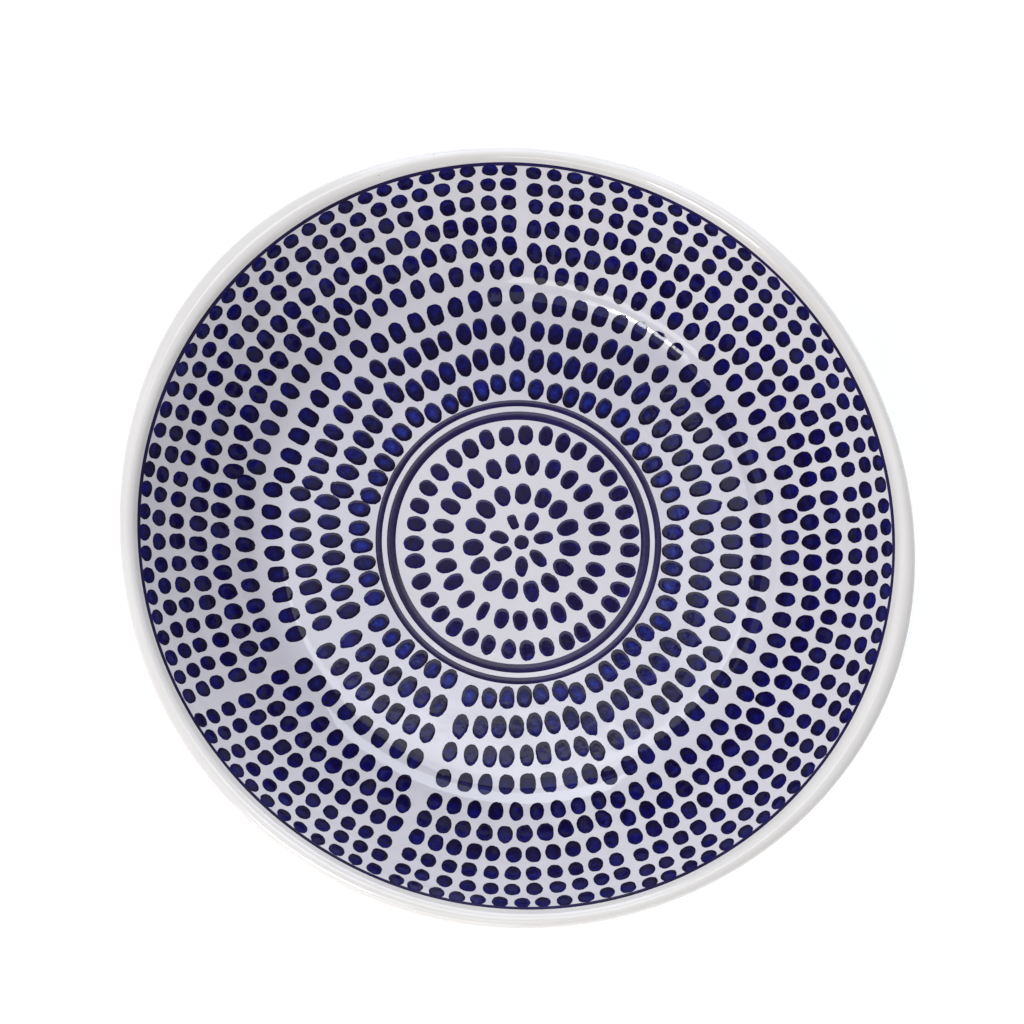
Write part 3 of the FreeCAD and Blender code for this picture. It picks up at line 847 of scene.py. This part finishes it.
# Rows of one sheet: (radius, count, width, length, first dab, last dab, climb, core).
# Millimetres, with the first and last dab in degrees from the sheet's edge; the climb is how far
# the row leans towards the rim, and the core is how much bare cobalt its dabs show.
FLOOR_ROWS = (
    (62.5, 6, 6.4, 8.9, 5.3, 38.2, 3.2, 1.0),
    (74.3, 7, 6.35, 9.4, 4.5, 38.0, 3.9, 0.35),
    (85.9, 8, 6.05, 8.8, 3.9, 38.4, 3.6, 0.2),
    (97.3, 8, 6.2, 8.7, 3.6, 38.2, 3.2, 0.3),
    (107.6, 9, 5.9, 9.8, 3.6, 38.3, 2.4, 0.25),
)
WALL_ROWS = (
    (115.6, 10, 6.4, 10.1, 1.7, 37.1, 3.4, 0.2),
    (123.3, 11, 6.1, 9.6, 1.5, 37.4, 2.2, 0.2),
    (130.3, 11, 6.1, 8.4, 1.7, 37.5, 1.8, 0.2),
    (136.0, 11, 6.3, 7.4, 1.3, 37.7, 2.4, 0.25),
    (140.6, 12, 6.2, 6.6, 1.2, 37.9, 1.2, 0.25),
)
# What the engraver drew unlike the rest, by (row, number of the dab in it), repeated in every
# sheet: pointed ends, and ragged squarish dabs.
FLOOR_QUIRKS = {
    (1, 0): {"tip": 0.16, "tip_at": math.radians(-35)},
    (1, 6): {"tip": 0.20, "tip_at": math.radians(20)},
    (2, 2): {"square": 2.9, "lean": 0.0},
    (3, 2): {"square": 3.0, "lean": 0.05},
    (3, 3): {"square": 2.8, "lean": -0.04},
}
WALL_QUIRKS = {
    (0, 4): {"tip": 0.12, "tip_at": math.radians(160)},
    (1, 7): {"square": 2.8},
    (2, 2): {"tip": 0.12, "tip_at": math.radians(60)},
}
MEDALLION_QUIRKS = {
    (0, 2): {"square": 4.0, "length": 6.0 * MM, "width": 3.8 * MM},
    (2, 16): {"width": 4.0 * MM, "tip": 0.12, "tip_at": math.radians(70)},
}
# How far each sheet is turned from its place, in degrees, clockwise from above.
FLOOR_SLIPS = (-0.9, -2.3, 0.1, 2.2, 0.7, 0.0, 0.0, 0.2, 0.0)
WALL_SLIPS = (-0.3, -0.4, 0.0, 0.75, 0.25, -0.15, 0.2, -0.1, -0.2)
SHEET_PITCH = 40.0
SHEET_START = -31.5
FLOOR_SEED = 21
WALL_SEED = 22
# How far dabs stray: along a row as a share of its pitch, and across it in millimetres.
ALONG_STRAY = 0.035
RING_STRAY = 0.25
ROW_STRAY = 0.12


def floor_climb(share):
    """The lean of a floor row: level at first, then rising to the sheet's far edge."""
    late = max(share - 0.3, 0) / 0.7
    return late ** 1.4


def wall_climb(share):
    """The lean of a wall row: rising, then level from about three quarters on."""
    return math.sin(min(share / 0.75, 1) * math.pi / 2) ** 1.5


def make_medallion():
    draw = random.Random(MEDALLION_SEED)
    sheet = Print()
    centre = DabShape(draw, MEDALLION_CENTRE * MM, MEDALLION_CENTRE * MM, MEDALLION_CORE)
    sheet.add(centre, 0.0, 0.0, MEDALLION_SHIFT)
    for ring, (radius, count, width, length, direction) in enumerate(MEDALLION_RINGS):
        for number in range(count):
            quirk = MEDALLION_QUIRKS.get((ring, number))
            shape = DabShape(draw, length * MM, width * MM, MEDALLION_CORE, quirk)
            pitch = 360 / count
            angle = direction + pitch * (number + draw.gauss(0, ALONG_STRAY))
            reach = radius + draw.gauss(0, RING_STRAY)
            travel = chain.travel_to(reach * MM, GLAZE_THICKNESS)
            sheet.add(shape, travel, math.radians(angle), MEDALLION_SHIFT)
    sheet.finish("medallion_transfer")


def sheet_design(rows, climb, quirks, seed):
    """The one drawing that all nine sheets repeat: (shape, travel, direction) of each dab."""
    draw = random.Random(seed)
    design = []
    for row, (radius, count, width, length, first, last, rise, core) in enumerate(rows):
        shares = [number / (count - 1) for number in range(count)]
        mean_climb = sum(climb(share) for share in shares) / count
        travel = chain.travel_to(radius * MM, GLAZE_THICKNESS)
        pitch = (last - first) / (count - 1)
        for number, share in enumerate(shares):
            shape = DabShape(draw, length * MM, width * MM, core, quirks.get((row, number)))
            direction = first + (last - first) * share + pitch * draw.gauss(0, ALONG_STRAY)
            reach = travel + (rise * (climb(share) - mean_climb) + draw.gauss(0, ROW_STRAY)) * MM
            design.append((shape, reach, -math.radians(direction)))
    return design


def make_sheets(base_name, rows, climb, quirks, slips, seed):
    """Nine prints of one drawing, side by side round the bowl."""
    design = sheet_design(rows, climb, quirks, seed)
    for number, slip in enumerate(slips):
        sheet = Print()
        turn = math.radians(SHEET_START - SHEET_PITCH * number - slip)
        for shape, travel, direction in design:
            sheet.add(shape, travel, turn + direction)
        sheet.finish(f"{base_name}_{number + 1}")


# ---------------------------------------------------------------- stage and light

PAPER_REACH = 3.0
PAPER_GLOW = 0.22
WORLD_LIGHT = 0.33
# The height of the point inside the bowl that the standing panels face.
AIM_HEIGHT = 0.03


def make_floor():
    """White paper, lit a little from behind, so that shadows on it stay faint."""
    nodes = Nodes("studio_floor")
    clouds = nodes.noise(6.0, 3.0)
    colour = nodes.ramp(clouds, ((0.3, (0.86, 0.86, 0.87)), (0.7, (0.89, 0.89, 0.89))))
    roughness = nodes.map(clouds, 0.3, 0.7, 0.7, 0.8)
    normal = nodes.bump(nodes.noise(800.0, 2.0), 0.01 * MM)
    nodes.shader.inputs["Emission Color"].default_value = (1.0, 1.0, 1.0, 1.0)
    nodes.shader.inputs["Emission Strength"].default_value = PAPER_GLOW
    material = nodes.finish(colour, roughness, normal)
    reach = PAPER_REACH
    corners = [(-reach, -reach, 0), (reach, -reach, 0), (reach, reach, 0), (-reach, reach, 0)]
    floor = new_object("studio_floor", corners, [[0, 1, 2, 3]], material, smooth=False)


def add_softbox(name, position, target, width, height, radiance, tint):
    """A flat panel of light that faces its target. radiance is its brightness, 1 being white."""
    data = bpy.data.lights.new(name, "AREA")
    data.shape = "RECTANGLE"
    data.size = width
    data.size_y = height
    data.energy = radiance * math.pi * width * height
    data.color = tint
    lamp = bpy.data.objects.new(name, data)
    bpy.context.collection.objects.link(lamp)
    aim = Vector(target) - Vector(position)
    turn = aim.to_track_quat("-Z", "Y").to_matrix().to_4x4()
    lamp.matrix_world = Matrix.Translation(position) @ turn


DAYLIGHT = (0.92, 0.97, 1.06)
COOL = (0.96, 0.98, 1.0)
WARM = (1.0, 0.975, 0.95)
# Panels under the studio's ceiling, facing straight down: (name, x, y, height, width, depth,
# radiance, tint).
CEILING_PANELS = (
    ("near_ceiling", -0.05, 0.45, 3.0, 0.90, 0.40, 4.0, COOL),
    ("back_ceiling", -0.05, 1.45, 3.0, 1.10, 1.60, 2.6, COOL),
    ("far_ceiling", -0.05, 3.0, 3.0, 2.4, 1.0, 0.7, COOL),
    ("front_ceiling", -0.9, -1.9, 3.0, 2.0, 1.6, 1.8, COOL),
    ("left_ceiling", -2.2, 0.3, 3.0, 1.4, 2.0, 1.35, WARM),
    ("high_middle", -0.08, 0.27, 4.5, 0.09, 0.11, 0.9, WARM),
    ("high_left", -0.27, 0.29, 4.5, 0.15, 0.18, 2.2, COOL),
    ("high_right", 0.04, 0.32, 4.5, 0.12, 0.15, 0.9, WARM),
    ("high_back", -0.10, 0.388, 4.5, 0.30, 0.035, 1.6, COOL),
)
# Panels standing round the bowl, facing it: (name, direction and elevation in degrees,
# distance, width, height, radiance, tint).
STANDING_PANELS = (
    ("low_back", 80, 24, 2.4, 2.6, 1.6, 3.7, DAYLIGHT),
    ("low_left", 180, 20, 1.8, 1.4, 0.6, 0.7, WARM),
    ("low_front", 245, 18, 1.8, 1.5, 0.6, 3.3, WARM),
    ("low_right", 0, 20, 1.8, 1.4, 0.6, 0.3, COOL),
    ("window", 236, 47, 1.87, 0.66, 0.34, 4.0, COOL),
    ("window_pane", 234, 46, 1.80, 0.42, 0.22, 42.0, COOL),
)


def add_lights():
    world = bpy.data.worlds.new("studio")
    world.use_nodes = True
    background = world.node_tree.nodes["Background"]
    background.inputs["Color"].default_value = (0.98, 0.985, 1.0, 1.0)
    background.inputs["Strength"].default_value = WORLD_LIGHT
    bpy.context.scene.world = world
    for name, x, y, height, width, depth, radiance, tint in CEILING_PANELS:
        # Aimed a hair off straight down, so that the panel's sides stay along X and Y.
        add_softbox(name, (x, y, height), (x, y + 1e-6, 0.0), width, depth, radiance, tint)
    for name, azimuth, elevation, distance, width, height, radiance, tint in STANDING_PANELS:
        turn = math.radians(azimuth)
        rise = math.radians(elevation)
        level = distance * math.cos(rise)
        place = (level * math.cos(turn), level * math.sin(turn), distance * math.sin(rise))
        add_softbox(name, place, (0.0, 0.0, AIM_HEIGHT), width, height, radiance, tint)


make_floor()
add_lights()
make_bowl_body()
make_foot_ring()
make_glaze_inside()
make_glaze_outside()
make_glaze_underside()
for name, radius, width, wobble, seed, doubled_at in BRUSHED_LINES:
    make_brushed_line(name, radius, width, wobble, seed, math.radians(doubled_at))
make_medallion()
make_sheets("floor_transfer", FLOOR_ROWS, floor_climb, FLOOR_QUIRKS, FLOOR_SLIPS, FLOOR_SEED)
make_sheets("wall_transfer", WALL_ROWS, wall_climb, WALL_QUIRKS, WALL_SLIPS, WALL_SEED)

bpy.context.scene.view_settings.view_transform = "Standard"
bpy.context.scene.view_settings.look = "None"
